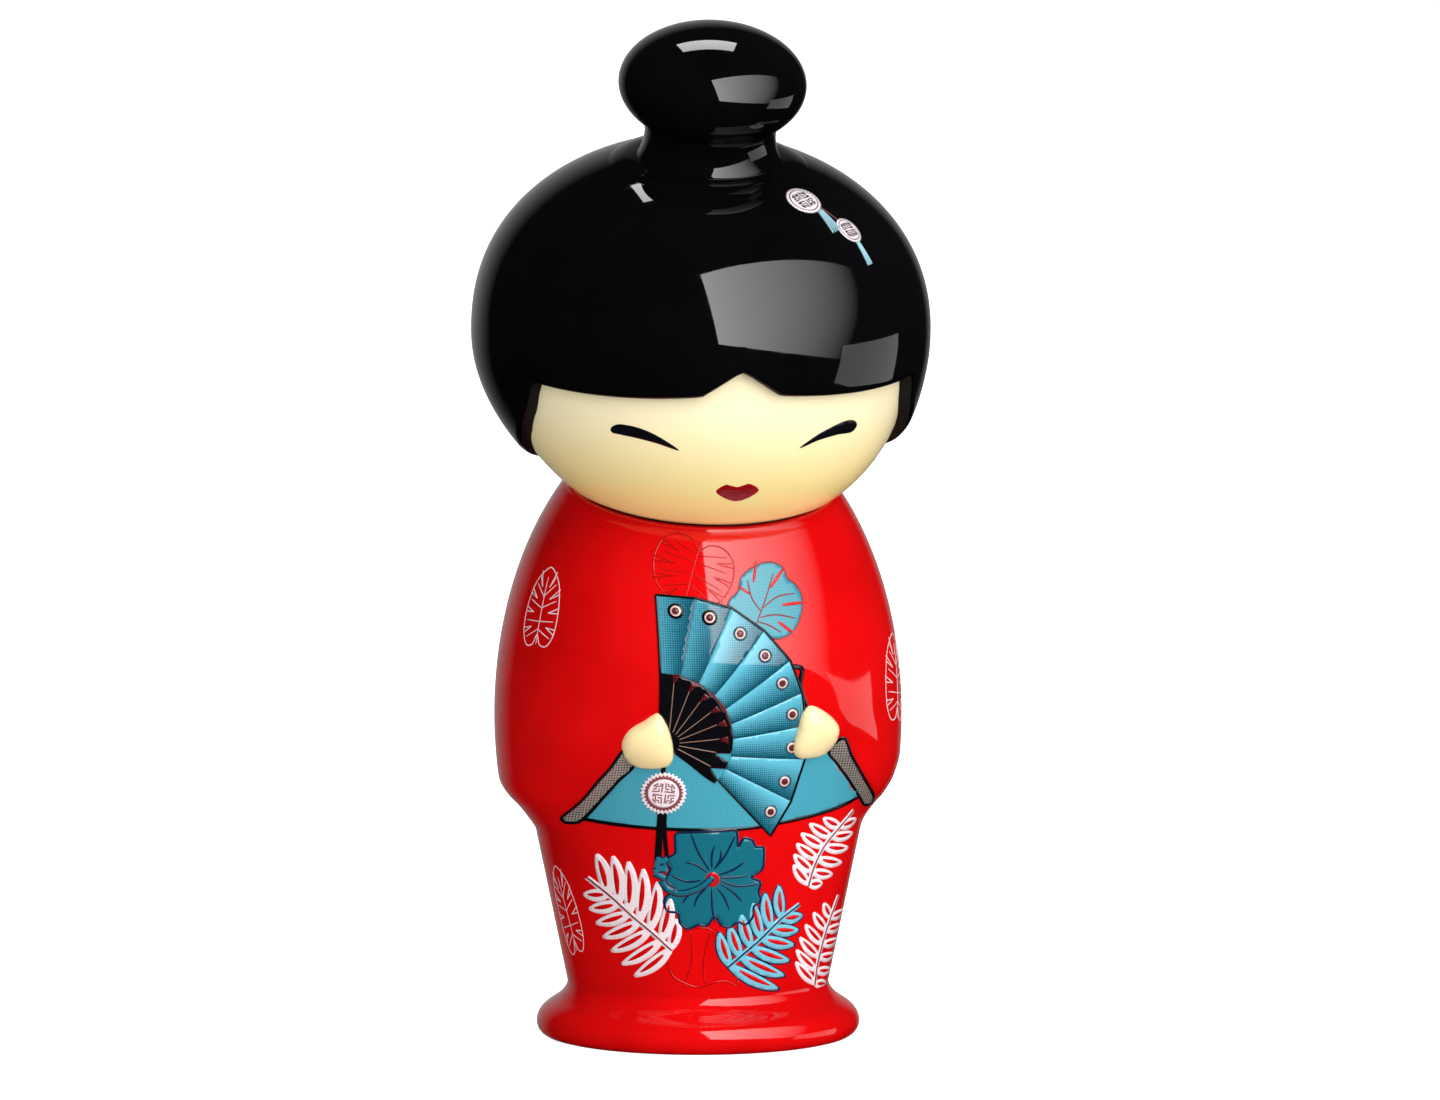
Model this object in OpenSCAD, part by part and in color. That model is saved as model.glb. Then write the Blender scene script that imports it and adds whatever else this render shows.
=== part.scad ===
/* [Jar] */
// Half width of the torso at its widest, over the sleeves
torso_r = 35.8; // [34.8:0.1:36.8]
// Half width of the foot's rolled flange
foot_r = 28.4; // [27.4:0.1:29.4]
// Half width at the waist, just above the foot
waist_r = 22.9; // [22.2:0.1:23.6]
// Thickness of the cast wall
wall = 3.0; // [2.6:0.1:3.3]

/* [Neck] */
// How far the neck and the head bow forward, in degrees
bow = 14; // [12:0.5:16]
// Height of the neck plane on the jar's axis
neck_z = 99.3; // [98.6:0.1:100]
// Half width of the mouth that the lid plugs into
mouth_r = 18.5; // [17.9:0.1:19.1]

/* [Head] */
// Half width of the hair at its widest
hair_r = 40.1; // [39.3:0.1:41]
// How far the hair stands proud of the face
hair_step = 2.7; // [2.2:0.1:3]
// Half width of the bun
bun_r = 16.35; // [15.4:0.05:17.2]
// Half height of the bun
bun_h = 10.3; // [9.7:0.1:10.9]

/* [Seal] */
// Gap that the seal's flange keeps between the jar's rim and the head
seam = 0.5; // [0.45:0.05:0.6]
// Radial running gap inside the seal, between it and the lid's plug
run_fit = 0.05; // [0.03:0.01:0.08]

/* [Hidden] */
$fn = 96;
// Torso: an ellipse on the jar's axis
torso_z = 57;
torso_h = 55;
// Foot: rounded flange, then a hollow sweep up to the waist
foot_round = 2.45;
foot_top_z = 3.7;
waist_z = 9.5;
recess_r = 21.5;
recess_h = 1.2;
floor_t = 3.4;
// Skirt: a straight flare that runs on up inside the sleeves
skirt_slope = 0.207;
// Sleeves: hem line, where it meets the skirt, and the roll above it
hem_z = 36.1;
hem_fillet_z = 38.2;
hem_round = 7;
hem_round_z = 46.85;
// Neck: the ring's centre lies where the bowed plane cuts the torso
ring_fwd = 4.2;
ring_z = neck_z - ring_fwd * tan(bow);
ring_r = 23.85;
rim_t = 4;
rim_bevel = 0.7;
mouth_depth = 20;
// Head: centre height above the neck plane, and half heights
head_s = 28.4;
face_r = hair_r - hair_step;
face_low_h = 36.3;
hair_low_h = 35.4;
hair_top_h = 33.4;
face_top_h = hair_top_h - hair_step;
nape_s = 4.6;
// Plug under the head, and the silicone seal round it
plug_r = 17.0;
plug_len = 8;
plug_wall = 3;
seal_len = 6.6;
seal_r = mouth_r - 0.08;
flange_r = 22.9;
axial_gap = 0.05;
groove = 0.5;
// Face opening in the hair: the fringe's edge from the front, and the side lock's edge
// from the side, as [forward of the neck's axis, height above the neck plane]
fringe_pts = [[-60, 26.1], [-32.4, 26.1], [-7.2, 29.9], [0, 34.7], [7.2, 29.9], [32.4, 26.1], [60, 26.1]];
lock_pts = [[19.2, 60], [19.2, 26.6], [11, 16], [4.5, 10.2], [-6.5, 3.4], [-6.5, -5]];
// Hair tie, a short waist with a small hollow at each end, and the bun
tie_r = 11.4;
tie_low_s = 62.2;
tie_high_s = 65.6;
tie_hollow = 1.6;
bun_s = 73.5;
// Hands and sleeves: outlines seen from the front, and how far the hands stand out
hand_pts = [[13.6, 60.8], [16.3, 59.7], [18.6, 57.6], [19.3, 55.3], [18.7, 53.2],
            [16.9, 51.7], [14.4, 51.2], [12.1, 51.5], [10.9, 52.9], [10.8, 55.4], [11.9, 58.6]];
hand_mid = [15, 56];
sleeve_pts = [[25.6, 30], [25.9, 39.6], [25.2, 41.2], [23.6, 43.6], [21.4, 47], [19.6, 50], [18.2, 52.4],
              [16.6, 56], [14.2, 61], [10, 70], [60, 70], [60, 30]];
hand_dome = 7.6;
hand_lift = 2.6;
big = 200;

// Radius of the torso ellipse, shrunk by t, at height z
function torso_at(z, t = 0) =
    (torso_r - t) * sqrt(max(0, 1 - pow((z - torso_z) / (torso_h - t), 2)));
// Radius of the skirt's flare at height z
function skirt_at(z) = waist_r + (z - waist_z) * skirt_slope;
// Height where the flare runs into the torso ellipse
function meet(lo, hi, n) = n == 0 ? lo :
    let (m = (lo + hi) / 2) skirt_at(m) < torso_at(m) ? meet(m, hi, n - 1) : meet(lo, m, n - 1);
meet_z = meet(50, 80, 30);

function ellipse_pts(r, h, mid, a0, a1, n) =
    [for (i = [0:n]) let (a = a0 + (a1 - a0) * i / n) [r * cos(a), mid + h * sin(a)]];
// Angle on an ellipse of half height h at which it is z above its middle
function ell_angle(z, h) = asin(z / h);

foot_pts = concat(
    [for (i = [0:5]) let (a = -90 + 18 * i)
        [foot_r - foot_round + foot_round * cos(a), foot_round + foot_round * sin(a)]],
    [for (i = [0:4]) let (a = 15 * i)
        [foot_r - 2.6 + 2.6 * cos(a), foot_top_z + 2.6 * sin(a)]],
    [for (i = [0:4]) let (a = 240 - 15 * i)
        [waist_r + 3.3 + 3.3 * cos(a), waist_z + 3.3 * sin(a)]]);

shoulder_pts = [for (i = [0:20]) let (z = meet_z + (106 - meet_z) * sin(90 * i / 20)) [torso_at(z), z]];

module jar_solid()
    rotate_extrude()
        polygon(concat([[0, 0]], foot_pts, shoulder_pts, [[0, 106]]));

// Everything below the neck plane, lowered by d
module below_neck(d = 0)
    translate([0, -ring_fwd, ring_z]) rotate([bow, 0, 0])
        translate([-big / 2, -big / 2, -big - d]) cube(big);

// Puts a child from the head's own upright frame onto the bowed neck ring
module on_neck()
    translate([0, -ring_fwd, ring_z]) rotate([bow, 0, 0]) children();

module jar_cavity() {
    low = recess_h + floor_t;
    intersection() {
        rotate_extrude()
            polygon(concat(
                [[0, low], [waist_r - wall - 2, low], [waist_r - wall, low + 2], [waist_r - wall, waist_z],
                 [skirt_at(meet_z) - wall, meet_z]],
                [for (i = [1:12]) let (z = meet_z + (102 - meet_z) * i / 12) [torso_at(z, wall), z]],
                [[0, 102]]));
        below_neck(rim_t);
    }
    on_neck() translate([0, 0, -mouth_depth]) cylinder(r = mouth_r, h = mouth_depth + 5);
}

// Trims the jar's top to a true circle with a bevelled edge at the neck plane
module rim_trim()
    on_neck() rotate_extrude()
        polygon([[0, -big], [big, -big], [big, ring_r - rim_bevel - big],
                 [ring_r - rim_bevel, 0], [0, 0]]);

module jar_body()
    color([0.80, 0.03, 0.04]) difference() {
        intersection() {
            jar_solid();
            rim_trim();
        }
        jar_cavity();
        translate([0, 0, -1]) cylinder(r = recess_r, h = recess_h + 1);
    }

module hand_outline(s)
    rotate([90, 0, 0]) linear_extrude(60)
        polygon([for (p = hand_pts) [s * p[0], p[1]]]);

// Sleeve outline seen from the front: from the cuff's tip, up past the hand, over the shoulder
module sleeve_outline(s)
    rotate([90, 0, 0]) linear_extrude(2 * big, center = true)
        polygon([for (p = sleeve_pts) [s * p[0], p[1]]]);

module sleeve(s)
    color([0.84, 0.04, 0.05]) difference() {
        intersection() {
            rotate_extrude()
                polygon(concat(
                    [[skirt_at(hem_z), hem_z], [skirt_at(hem_z) + 0.9, hem_fillet_z]],
                    [for (i = [0:6]) let (a = -45 + 7.5 * i)
                        [torso_at(hem_round_z) - hem_round + hem_round * cos(a),
                         hem_round_z + hem_round * sin(a)]],
                    [for (i = [1:8]) let (z = hem_round_z + (meet_z - hem_round_z) * i / 8)
                        [torso_at(z), z]]));
            sleeve_outline(s);
        }
        hand_outline(s);
    }

module left_sleeve() sleeve(1);
module right_sleeve() sleeve(-1);

module hand(s) {
    out = sqrt(pow(skirt_at(hand_mid[1]), 2) - pow(hand_mid[0], 2));
    color([0.98, 0.90, 0.70]) difference() {
        intersection() {
            hand_outline(s);
            translate([s * hand_mid[0] * (out - 5) / out, -(out + hand_lift - hand_dome), hand_mid[1]])
                sphere(r = hand_dome);
        }
        jar_solid();
    }
}

module left_hand() hand(1);
module right_hand() hand(-1);

module seal_ring()
    color([0.10, 0.10, 0.10]) on_neck() rotate_extrude()
        polygon([[plug_r + run_fit, -seal_len], [seal_r - groove, -seal_len],
                 [seal_r, -seal_len + 0.8], [seal_r, -4.6], [seal_r - groove, -4.6],
                 [seal_r - groove, -3.4], [seal_r, -3.4], [seal_r, -2.2],
                 [seal_r - groove, -2.2], [seal_r - groove, axial_gap],
                 [flange_r, axial_gap], [flange_r, seam - axial_gap],
                 [plug_r + run_fit, seam - axial_gap]]);

// Outside of the head under the hair, from the neck up to the crown
low_a = -ell_angle(head_s - seam - 0.6, face_low_h);
face_pts = concat(
    ellipse_pts(face_r, face_low_h, head_s, low_a, 0, 12),
    ellipse_pts(face_r, face_top_h, head_s, 7.5, 90, 11));

module head_shell() {
    in_low_a = -ell_angle(head_s - seam - wall, face_low_h - wall);
    color([0.99, 0.94, 0.72]) on_neck() rotate_extrude()
        polygon(concat(
            [[plug_r, -plug_len], [plug_r, seam], [ring_r - 0.5, seam]],
            face_pts,
            ellipse_pts(face_r - wall, face_top_h - wall, head_s, 90, 0, 12),
            ellipse_pts(face_r - wall, face_low_h - wall, head_s, in_low_a / 10, in_low_a, 9),
            [[plug_r - plug_wall, seam + wall], [plug_r - plug_wall, -plug_len]]));
}

module hair_cap() {
    hem_a = -ell_angle(head_s - nape_s, hair_low_h);
    color([0.02, 0.02, 0.025]) on_neck() difference() {
        rotate_extrude()
            polygon(concat(
                ellipse_pts(hair_r, hair_low_h, head_s, hem_a, 0, 12),
                ellipse_pts(hair_r, hair_top_h, head_s, 7.5, 90, 11),
                [[0, nape_s]]));
        rotate_extrude()
            polygon(concat([[0, -5], [face_r, -5]], face_pts));
        face_window();
    }
}

// The opening for the face: under the fringe and in front of the side locks
module face_window()
    intersection() {
        rotate([90, 0, 0]) linear_extrude(big, center = true)
            polygon(concat([[-60, -5]], fringe_pts, [[60, -5]]));
        rotate([90, 0, -90]) linear_extrude(big, center = true)
            polygon(concat(lock_pts, [[60, -5], [60, 60]]));
    }

module hair_tie()
    color([0.02, 0.02, 0.025]) on_neck() difference() {
        rotate_extrude()
            polygon(concat(
                [[0, 55], [tie_r + tie_hollow, 55]],
                [for (i = [0:5]) let (a = 270 - 18 * i)
                    [tie_r + tie_hollow * (1 + cos(a)), tie_low_s + tie_hollow * sin(a)]],
                [for (i = [1:3]) let (a = 180 - 15 * i)
                    [tie_r + tie_hollow * (1 + cos(a)), tie_high_s + tie_hollow * sin(a)]],
                [[tie_r, bun_s - 5], [0, bun_s - 5]]));
        rotate_extrude()
            polygon(concat([[0, 40]], ellipse_pts(hair_r, hair_top_h, head_s, 7.5, 90, 11)));
        bun_solid();
    }

module bun_solid()
    rotate_extrude()
        polygon(ellipse_pts(bun_r, bun_h, bun_s, -90, 90, 24));

module hair_bun()
    color([0.02, 0.02, 0.025]) on_neck() bun_solid();

jar_body();
left_sleeve();
right_sleeve();
left_hand();
right_hand();
seal_ring();
head_shell();
hair_cap();
hair_tie();
hair_bun();
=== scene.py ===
import math

import bpy
import numpy as np
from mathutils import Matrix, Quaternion, Vector
from mathutils.geometry import delaunay_2d_cdt


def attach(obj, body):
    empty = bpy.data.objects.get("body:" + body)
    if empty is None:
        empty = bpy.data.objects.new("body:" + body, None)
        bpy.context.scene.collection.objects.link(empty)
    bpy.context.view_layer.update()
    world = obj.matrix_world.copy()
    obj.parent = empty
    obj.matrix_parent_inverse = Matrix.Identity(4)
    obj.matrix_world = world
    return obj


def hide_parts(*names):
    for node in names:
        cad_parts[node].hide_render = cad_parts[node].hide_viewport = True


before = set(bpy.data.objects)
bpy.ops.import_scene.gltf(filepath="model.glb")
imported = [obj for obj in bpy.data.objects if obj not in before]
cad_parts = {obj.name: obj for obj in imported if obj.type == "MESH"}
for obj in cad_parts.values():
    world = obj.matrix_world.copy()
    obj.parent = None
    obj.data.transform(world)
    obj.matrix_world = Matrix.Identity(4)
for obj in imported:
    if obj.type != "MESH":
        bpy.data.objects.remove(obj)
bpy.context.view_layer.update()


# Jar: slip-cast porcelain in the shape of the kimono, with a rolled foot and a bowed neck.
# The sleeves are raised on the same wall and roll under at their hem. Red glaze covers the
# outside and clear glaze over white the inside; the foot's underside is left bare.
COLUMNS = 288
MM = 0.001
bow = math.radians(14)
neck = np.array([0, -4.2, 98.2528])
angles = np.arange(COLUMNS) * 2 * math.pi / COLUMNS
wall = 3
torso_radius, torso_middle, torso_reach = 35.8, 57, 55
skirt_radius, skirt_foot, skirt_flare = 22.9, 9.5, 0.207
hem_height, hem_roll, hem_drop = 46.85, 7, 4.95


def colour(code):
    """A paint chart's hex code as the linear colour that a shader takes."""
    parts = [int(code[i:i + 2], 16) / 255 for i in (0, 2, 4)]
    return tuple(c / 12.92 if c < 0.04 else ((c + 0.055) / 1.055) ** 2.4 for c in parts) + (1,)


def ease(t):
    t = np.clip(t, 0, 1)
    return t * t * (3 - 2 * t)


def soft_min(a, b, k):
    h = np.clip(0.5 + 0.5 * (b - a) / k, 0, 1)
    return b * (1 - h) + a * h - k * h * (1 - h)


def torso(z, inset=0):
    across = (z - torso_middle) / (torso_reach - inset)
    return (torso_radius - inset) * np.sqrt(np.clip(1 - across ** 2, 0.01, 1))


def plain_body(z, inset=0):
    """Radius of the body without its sleeves, or of a layer inside it."""
    skirt = skirt_radius - inset + skirt_flare * (z - skirt_foot)
    return soft_min(skirt, torso(np.maximum(z, 50), inset), 0.8)


def kimono(angle, z):
    """Radius of the glazed outside at an angle from the front, towards the doll's left."""
    body = plain_body(z)
    drop = np.clip(hem_height - z, 0, hem_drop)
    under = torso(hem_height) - hem_roll + np.sqrt(hem_roll ** 2 - drop ** 2)
    rolled = np.where(z > hem_height, torso(z), under)
    rolled = rolled - np.maximum(hem_height - hem_drop - z, 0) * 0.92
    x = np.abs(body * np.sin(angle))
    right = np.interp(z, [36, 41, 45, 49, 53, 57, 62, 70], [25.5, 24.2, 21.1, 18.4, 15.6, 14.0, 11.5, 8])
    left = np.interp(z, [36, 42, 45, 49, 53, 57, 62, 70], [27.5, 26.4, 24.0, 20.9, 17.8, 15.0, 12.0, 8])
    inner = np.where(np.sin(angle) > 0, left, right)
    width = np.interp(z, [36, 52, 58, 70], [2.9, 2.9, 5, 10])
    swell = 0.55 * ease((x - inner) / width) + 0.45 * ease((x - inner) / 11)
    return body + np.maximum(rolled - body, 0) * swell


def upright(radius, z):
    radius, z = np.broadcast_to(radius, COLUMNS), np.broadcast_to(z, COLUMNS)
    return np.stack([radius * np.sin(angles), -radius * np.cos(angles), z], -1)


def lean(s):
    """The fired head stands a little to one side of the neck's axis."""
    return -1.6 * ease(np.asarray(s) / 25)


def bowed(x, forward, s):
    """A point in the head's own upright frame, put on the bowed neck."""
    x, forward, s = np.broadcast_arrays(np.asarray(x, float), forward, s)
    y = -forward * math.cos(bow) - s * math.sin(bow)
    z = -forward * math.sin(bow) + s * math.cos(bow)
    return np.stack([x + lean(s), y, z], -1) + neck


def ring(radius, s):
    return bowed(radius * np.sin(angles), radius * np.cos(angles), np.broadcast_to(s, COLUMNS))


def up_to_neck(radius_at, depth):
    """Height at which a wall comes within depth of the neck plane, column by column."""
    z = np.full(COLUMNS, 98.0)
    for _ in range(60):
        at = upright(radius_at(z), z) - neck
        s = -at[:, 1] * math.sin(bow) + at[:, 2] * math.cos(bow)
        z -= 0.7 * (s + depth)
    return z


def piece_of(name, points, faces, kinds, materials, smooth=None):
    """A piece from points in millimetres, with its material's number on each face."""
    mesh = bpy.data.meshes.new(name)
    mesh.from_pydata((np.vstack(points) * MM).tolist(), [], faces)
    for material in materials:
        mesh.materials.append(material)
    mesh.polygons.foreach_set("material_index", kinds)
    mesh.polygons.foreach_set("use_smooth", smooth or [True] * len(faces))
    mesh.update()
    piece = bpy.data.objects.new(name, mesh)
    bpy.context.scene.collection.objects.link(piece)
    return piece


def skin(name, rings, materials, inside=None, closed=False):
    """One closed surface through rings of points, capped at both ends or joined end to end."""
    count = len(rings)
    points, faces, kinds = list(rings), [], []
    for j in range(count if closed else count - 1):
        a, b = j * COLUMNS, (j + 1) % count * COLUMNS
        for i in range(COLUMNS):
            k = (i + 1) % COLUMNS
            faces.append((a + i, a + k, b + k, b + i))
        kinds += [inside(j) if inside else 0] * COLUMNS
    if not closed:
        low, high, last = count * COLUMNS, count * COLUMNS + 1, (count - 1) * COLUMNS
        points += [rings[0].mean(0), rings[-1].mean(0)]
        for i in range(COLUMNS):
            k = (i + 1) % COLUMNS
            faces.append((low, k, i))
            faces.append((high, last + i, last + k))
            kinds += [inside(0) if inside else 0, inside(count) if inside else 0]
    return piece_of(name, points, faces, kinds, materials)


# The fired surface that every glaze shares: slow shifts of depth in the colour, tiny
# pinholes, and a faint orange-peel ripple.
WHITE = (1, 1, 1, 1)
glaze = bpy.data.node_groups.new("Fired glaze", "ShaderNodeTree")
for label, kind, value in (("Colour", "Color", WHITE), ("Pooled colour", "Color", WHITE),
                           ("Ripple", "Float", 0.3), ("Gloss", "Float", 0.06)):
    socket = glaze.interface.new_socket(label, in_out="INPUT", socket_type="NodeSocket" + kind)
    socket.default_value = value
for label, kind in (("Colour", "Color"), ("Roughness", "Float"), ("Normal", "Vector")):
    glaze.interface.new_socket(label, in_out="OUTPUT", socket_type="NodeSocket" + kind)


def node(tree, kind, links=(), **settings):
    """Adds a node, sets its fields and socket values, and links its inputs."""
    made = tree.nodes.new(kind)
    for key, value in settings.items():
        setattr(made, key, value)
    for socket, source in dict(links).items():
        if isinstance(source, bpy.types.NodeSocket):
            tree.links.new(source, made.inputs[socket])
        else:
            made.inputs[socket].default_value = source
    return made


g_in, g_out = node(glaze, "NodeGroupInput"), node(glaze, "NodeGroupOutput")
place = node(glaze, "ShaderNodeTexCoord").outputs["Object"]
pooling = node(glaze, "ShaderNodeTexNoise", {"Vector": place, "Scale": 38.0, "Detail": 3.0})
pools = node(glaze, "ShaderNodeMapRange", {"Value": pooling.outputs["Fac"],
                                           "From Min": 0.42, "From Max": 0.72})
tinted = node(glaze, "ShaderNodeMix", {0: pools.outputs["Result"], 6: g_in.outputs["Colour"],
                                       7: g_in.outputs["Pooled colour"]}, data_type="RGBA")
pinholes = node(glaze, "ShaderNodeTexVoronoi", {"Vector": place, "Scale": 190.0})
holes = node(glaze, "ShaderNodeMapRange", {"Value": pinholes.outputs["Distance"], "From Min": 0.02,
                                           "From Max": 0.05, "To Min": 0.55, "To Max": 1.0})
scattered = node(glaze, "ShaderNodeMath", {0: pinholes.outputs["Color"], 1: 0.93}, operation="LESS_THAN")
kept = node(glaze, "ShaderNodeMath", {0: holes.outputs["Result"], 1: scattered.outputs[0]},
            operation="MAXIMUM")
pitted = node(glaze, "ShaderNodeMix", {0: 1.0, 6: tinted.outputs[2], 7: kept.outputs[0]},
              data_type="RGBA", blend_type="MULTIPLY")
wear = node(glaze, "ShaderNodeTexNoise", {"Vector": place, "Scale": 420.0, "Detail": 4.0})
dulling = node(glaze, "ShaderNodeMapRange", {"Value": wear.outputs["Fac"], "From Min": 0.5, "From Max": 0.8,
                                             "To Min": 0.0, "To Max": 0.05})
gloss = node(glaze, "ShaderNodeMath", {0: g_in.outputs["Gloss"], 1: dulling.outputs["Result"]},
             operation="ADD")
peel = node(glaze, "ShaderNodeTexNoise", {"Vector": place, "Scale": 75.0, "Detail": 1.5})
ripple = node(glaze, "ShaderNodeBump", {"Height": peel.outputs["Fac"], "Strength": g_in.outputs["Ripple"],
                                        "Distance": 0.0002})
for label, source in (("Colour", pitted.outputs[2]), ("Roughness", gloss.outputs[0]),
                      ("Normal", ripple.outputs[0])):
    glaze.links.new(source, g_out.inputs[label])


def glazed(name, code, pooled, ripple=0.25, gloss=0.05):
    """A glaze of its own colour over the shared fired surface."""
    made = bpy.data.materials.new(name)
    made.use_nodes = True
    tree = made.node_tree
    shader = tree.nodes["Principled BSDF"]
    fired = node(tree, "ShaderNodeGroup", node_tree=glaze)
    fired.inputs["Colour"].default_value = colour(code)
    fired.inputs["Pooled colour"].default_value = colour(pooled)
    fired.inputs["Ripple"].default_value = ripple
    fired.inputs["Gloss"].default_value = gloss
    tree.links.new(fired.outputs["Colour"], shader.inputs["Base Color"])
    tree.links.new(fired.outputs["Roughness"], shader.inputs["Roughness"])
    tree.links.new(fired.outputs["Normal"], shader.inputs["Normal"])
    shader.inputs["IOR"].default_value = 1.52
    return made


red_glaze = glazed("red kimono glaze", "DE0A0C", "C80609")
white_inside = glazed("clear glaze over white", "F4F1EA", "E6E2D6", gloss=0.1)
bisque = glazed("bare bisque", "E9E2D2", "D8CFBB", ripple=0.6, gloss=0.6)

foot_under = [(6, 1.2), (12, 1.2), (18, 1.2), (21, 1.2), (21.4, 1.0), (21.6, 0.3), (21.9, 0.05),
              (22.4, 0), (24.2, 0)]
foot_edge = [(25.1, 0), (26.0, 0.06), (26.9, 0.3), (27.6, 0.75), (28.1, 1.35), (28.35, 2.05),
             (28.4, 2.8), (28.3, 3.5), (28.0, 4.25), (27.5, 4.95), (26.85, 5.55), (26.1, 6.1),
             (25.3, 6.6), (24.55, 7.15), (23.95, 7.75), (23.45, 8.35), (23.15, 8.9)]
rows = [upright(r, z) for r, z in foot_under + foot_edge]
bare_rows = len(foot_under)
shoulder = up_to_neck(lambda z: kimono(angles, z), 1.3)
for t in np.linspace(0, 1, 185):
    z = 9.6 + (shoulder - 9.6) * t
    rows.append(upright(kimono(angles, z), z))
rim = [(23.85, -0.6), (23.8, -0.35), (23.62, -0.15), (23.3, -0.03), (22.8, 0), (19.4, 0),
       (18.9, -0.08), (18.6, -0.3), (18.5, -0.7), (18.5, -2.2), (18.5, -3.6), (18.6, -3.95), (18.9, -4)]
rows += [ring(r, s) for r, s in rim]
outside_rows = len(rows) - 8
ceiling = up_to_neck(lambda z: plain_body(z, wall), 4.1)
for t in np.linspace(1, 0, 40):
    z = 8.5 + (ceiling - 8.5) * t
    rows.append(upright(plain_body(z, wall), z))
rows += [upright(r, z) for r, z in ((19.4, 6.8), (18.7, 5.5), (17.4, 4.75), (15.5, 4.6), (8, 4.6), (2, 4.6))]
jar = skin("jar_shell", rows, [red_glaze, white_inside, bisque],
           lambda j: 2 if j < bare_rows - 1 else (0 if j < outside_rows else 1))
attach(jar, "jar")
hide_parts("jar_body", "left_sleeve", "right_sleeve")


# Hands: small domed pads raised on the kimono where the cuffs meet the fan, under cream glaze.
# They are pressed from the same clay as the jar, so each is one smooth swelling.
buried = 0.12


def curve(points, closed, step=0.35, soft=True):
    """Points along a drawn line, rounded through its corners if it is soft."""
    p = np.array(points, float)
    n, out = len(p), []
    for k in range(n if closed else n - 1):
        a, b = p[k], p[(k + 1) % n]
        m = max(2, math.ceil(np.linalg.norm(b - a) / step))
        t = np.arange(m)[:, None] / m
        before = (p[k - 1] if closed or k else a) if soft else 2 * a - b
        after = (p[(k + 2) % n] if closed or k + 2 < n else b) if soft else 2 * b - a
        out.append(0.5 * (2 * a + (b - before) * t + (2 * before - 5 * a + 4 * b - after) * t ** 2
                          + (3 * a - before - 3 * b + after) * t ** 3))
    if not closed:
        out.append(p[-1:])
    return np.vstack(out)


def relaxed(tris, start, push):
    """Values at a skin's points, settled evenly between those pinned on its outline."""
    sides = {(f[i], f[(i + 1) % 3]) for f in tris for i in range(3)}
    pinned = sorted({i for a, b in sides if (b, a) not in sides for i in (a, b)})
    pairs = np.array(sorted(sides | {(b, a) for a, b in sides}))
    neighbours = np.bincount(pairs[:, 0], minlength=len(start))
    value = start.copy()
    for _ in range(1500):
        value = np.bincount(pairs[:, 0], value[pairs[:, 1]], len(start)) / neighbours + push
        value[pinned] = start[pinned]
    return value


def on_kimono(x, z):
    """The kimono's surface seen from the front."""
    radius = plain_body(z)
    for _ in range(14):
        radius = 0.5 * radius + 0.5 * kimono(np.arcsin(np.clip(x / radius, -0.998, 0.998)), z)
    return np.stack([x, -np.sqrt(np.maximum(radius ** 2 - x ** 2, 0.01)), z], -1)


def lifted(surface, x, v, lift):
    """Points of a surface moved out along the way that it faces."""
    e = 0.04
    facing = np.cross(surface(x + e, v) - surface(x - e, v), surface(x, v + e) - surface(x, v - e))
    facing /= np.linalg.norm(facing, axis=1)[:, None]
    return surface(x, v) + facing * np.reshape(lift, (-1, 1))


def laid(name, shapes, surface, lift, material, body="jar", grid=0.8, dome=None, paint=None):
    """A thin closed skin inside drawn outlines, its top a lift above a surface and its
    underside buried. Dome is a pad's height; paint gives each point a material value."""
    points, faces = [], []
    for shape in shapes:
        shape = np.asarray(shape)
        after = np.roll(shape, -1, 0)
        if np.sum(shape[:, 0] * after[:, 1] - after[:, 0] * shape[:, 1]) < 0:
            shape = shape[::-1]
        faces.append(list(range(len(points), len(points) + len(shape))))
        points += shape.tolist()
    drawn = np.array(points)
    low, high = drawn.min(0), drawn.max(0)
    gx, gz = np.meshgrid(np.arange(low[0], high[0], grid), np.arange(low[1], high[1], grid * 0.87))
    gx[1::2] += grid / 2
    filler = np.stack([gx.ravel(), gz.ravel()], 1)
    clear = np.ones(len(filler), bool)
    for block in np.array_split(drawn, max(1, len(drawn) // 400)):
        gap = np.linalg.norm(filler[:, None] - block[None], axis=2).min(1)
        clear &= gap > min(0.25, grid * 0.4)
    points += filler[clear].tolist()
    cut = delaunay_2d_cdt([Vector(p) for p in points], [], faces, 1, 1e-5)
    flat = np.array([list(v) for v in cut[0]])
    tris = [tuple(f) for f, inside in zip(cut[2], cut[5]) if inside]
    used = sorted({i for f in tris for i in f})
    order = {old: new for new, old in enumerate(used)}
    tris = [tuple(order[i] for i in f) for f in tris]
    flat = flat[used]
    top = lifted(surface, flat[:, 0], flat[:, 1], np.full(len(flat), float(lift)))
    if dome:
        swell = relaxed(tris, np.zeros(len(flat)), 1)
        top[:, 1] = relaxed(tris, top[:, 1], 0) - dome * np.sqrt(swell / swell.max())
    under = lifted(surface, flat[:, 0], flat[:, 1], np.full(len(flat), -buried))
    n = len(flat)
    edges = [(f[i], f[(i + 1) % 3]) for f in tris for i in range(3)]
    joined = set(edges)
    sides = [(b, a, a + n, b + n) for a, b in edges if (b, a) not in joined]
    faces = tris + [(c + n, b + n, a + n) for a, b, c in tris] + sides
    smooth = [True] * len(tris) + [False] * (len(faces) - len(tris))
    piece = piece_of(name, [top, under], faces, [0] * len(faces), [material], smooth)
    if paint:
        shade = piece.data.attributes.new("shade", "FLOAT", "POINT")
        shade.data.foreach_set("value", np.tile(paint(flat[:, 0], flat[:, 1]), 2))
    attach(piece, body)
    return piece


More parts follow.
